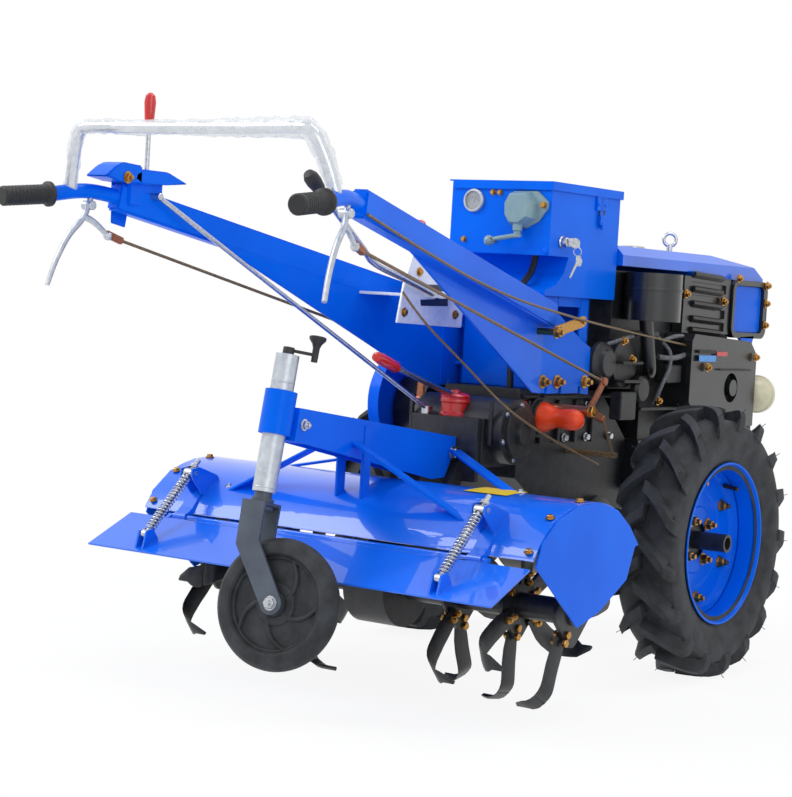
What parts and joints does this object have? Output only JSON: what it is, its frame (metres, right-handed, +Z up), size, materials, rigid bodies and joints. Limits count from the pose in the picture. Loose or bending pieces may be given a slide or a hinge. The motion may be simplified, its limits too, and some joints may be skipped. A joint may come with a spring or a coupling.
{
  "type": "walking tractor with rotary tiller",
  "caption": "Two-wheel walking tractor with a diesel engine, long handles, a bolted-on rotary tiller under a sheet hood, and a tail wheel on a sliding post.",
  "frame": {"origin": "centre of the bounding box in plan, on the floor", "axes": "+X forward, towards the front bumper; +Y to the machine's left; +Z up"},
  "size_m": [2.096, 0.932, 1.1],
  "materials": {
    "blue_paint": "gloss",
    "black_rubber": "matte",
    "tyre_rubber": "matte",
    "cast_black": "satin",
    "steel_dark": "satin",
    "steel_bright": "satin",
    "orange_plastic": "gloss",
    "red_plastic": "gloss",
    "lamp_cream": "gloss",
    "grey_casting": "satin",
    "rust_steel": "satin"
  },
  "bodies": {
    "chassis": {"air_cleaner": "cast_black", "bell_cranks": "rust_steel", "belt_guard": "blue_paint", "box_dials": "grey_casting", "chassis_frame": "cast_black", "clutch_bracket": "blue_paint", "control_box": "blue_paint", "control_levers": "steel_bright", "drive_pulleys": "cast_black", "engine_block": "cast_black", "engine_cover": "blue_paint", "front_bumper": "cast_black", "front_guard": "cast_black", "gear_gate": "steel_bright", "gearbox": "cast_black", "grips": "black_rubber", "hand_levers": "steel_bright", "handle_beams": "blue_paint", "handle_bracket": "blue_paint", "headlamp": "lamp_cream", "hood": "blue_paint", "lever_knobs": "red_plastic", "muffler_box": "cast_black", "radiator": "cast_black", "shaft_cap": "orange_plastic", "shift_boot": "red_plastic", "side_drive_case": "cast_black", "side_grille": "cast_black", "side_panel": "blue_paint", "side_plates": "blue_paint", "steering_rods": "steel_bright", "tail_beam": "blue_paint", "tail_braces": "blue_paint", "tail_post": "steel_bright", "tiller_case": "cast_black", "upper_bar": "steel_bright"},
    "wheel_left": {"tyre_left": "tyre_rubber", "rim_left": "blue_paint", "hub_left": "steel_dark"},
    "wheel_right": {"tyre_right": "tyre_rubber", "rim_right": "blue_paint", "hub_right": "steel_dark"},
    "rotor": {"rotor_shaft": "steel_dark", "tines": "steel_dark"},
    "stand": {"front_stand": "cast_black"},
    "lid": {"box_lid": "blue_paint"},
    "flap": {"rear_flap": "blue_paint"},
    "flap_rods": {"spring_rods": "steel_bright"},
    "rod_eyes": {"rod_swivels": "steel_bright"},
    "tail_slider": {"tail_stem": "steel_dark"},
    "tail_swivel": {"tail_fork": "steel_dark"},
    "tail_roller": {"tail_wheel": "tyre_rubber"}
  },
  "joints": [
    {"name": "wheel_left_spin", "type": "hinge", "parent": "chassis", "child": "wheel_left", "pos_m": [0.3475, 0.353, 0.283], "axis": [0, 1, 0], "continuous": true},
    {"name": "wheel_right_spin", "type": "hinge", "parent": "chassis", "child": "wheel_right", "pos_m": [0.3475, -0.353, 0.283], "axis": [0, 1, 0], "continuous": true},
    {"name": "rotor_spin", "type": "hinge", "parent": "chassis", "child": "rotor", "pos_m": [-0.2825, 0, 0.195], "axis": [0, 1, 0], "continuous": true},
    {"name": "stand_fold", "type": "hinge", "parent": "chassis", "child": "stand", "pos_m": [0.9075, 0, 0.396], "axis": [0, 1, 0], "range_deg": [0, 85]},
    {"name": "lid_open", "type": "hinge", "parent": "chassis", "child": "lid", "pos_m": [0.203, 0.142, 0.998], "axis": [-1, 0, 0], "range_deg": [0, 95]},
    {"name": "flap_lift", "type": "hinge", "parent": "chassis", "child": "flap", "pos_m": [-0.5035, 0, 0.301], "axis": [0, 1, 0], "range_deg": [0, 25]},
    {"name": "rod_pin_turn", "type": "hinge", "parent": "flap", "child": "flap_rods", "pos_m": [-0.6085, 0, 0.273], "axis": [0, 1, 0], "range_deg": [-12, 0]},
    {"name": "rod_eye_turn", "type": "hinge", "parent": "chassis", "child": "rod_eyes", "pos_m": [-0.4895, 0, 0.387], "axis": [0, 1, 0], "range_deg": [0, 16]},
    {"name": "tail_height", "type": "slide", "parent": "chassis", "child": "tail_slider", "axis": [-0.1869, 0, -0.9824], "range_m": [0, 0.11]},
    {"name": "tail_turn", "type": "hinge", "parent": "tail_slider", "child": "tail_swivel", "pos_m": [-0.6805, 0, 0.392], "axis": [0.1869, 0, 0.9824], "range_deg": [-202, 0]},
    {"name": "tail_spin", "type": "hinge", "parent": "tail_swivel", "child": "tail_roller", "pos_m": [-0.7042, -0.06577, 0.19903], "axis": [-0.9643, -0.1908, 0.1835], "continuous": true}
  ],
  "couplings": [
    {"joint": "rod_pin_turn", "follows": "flap_lift", "ratio": -0.414},
    {"joint": "rod_eye_turn", "follows": "flap_lift", "ratio": 0.586}
  ]
}
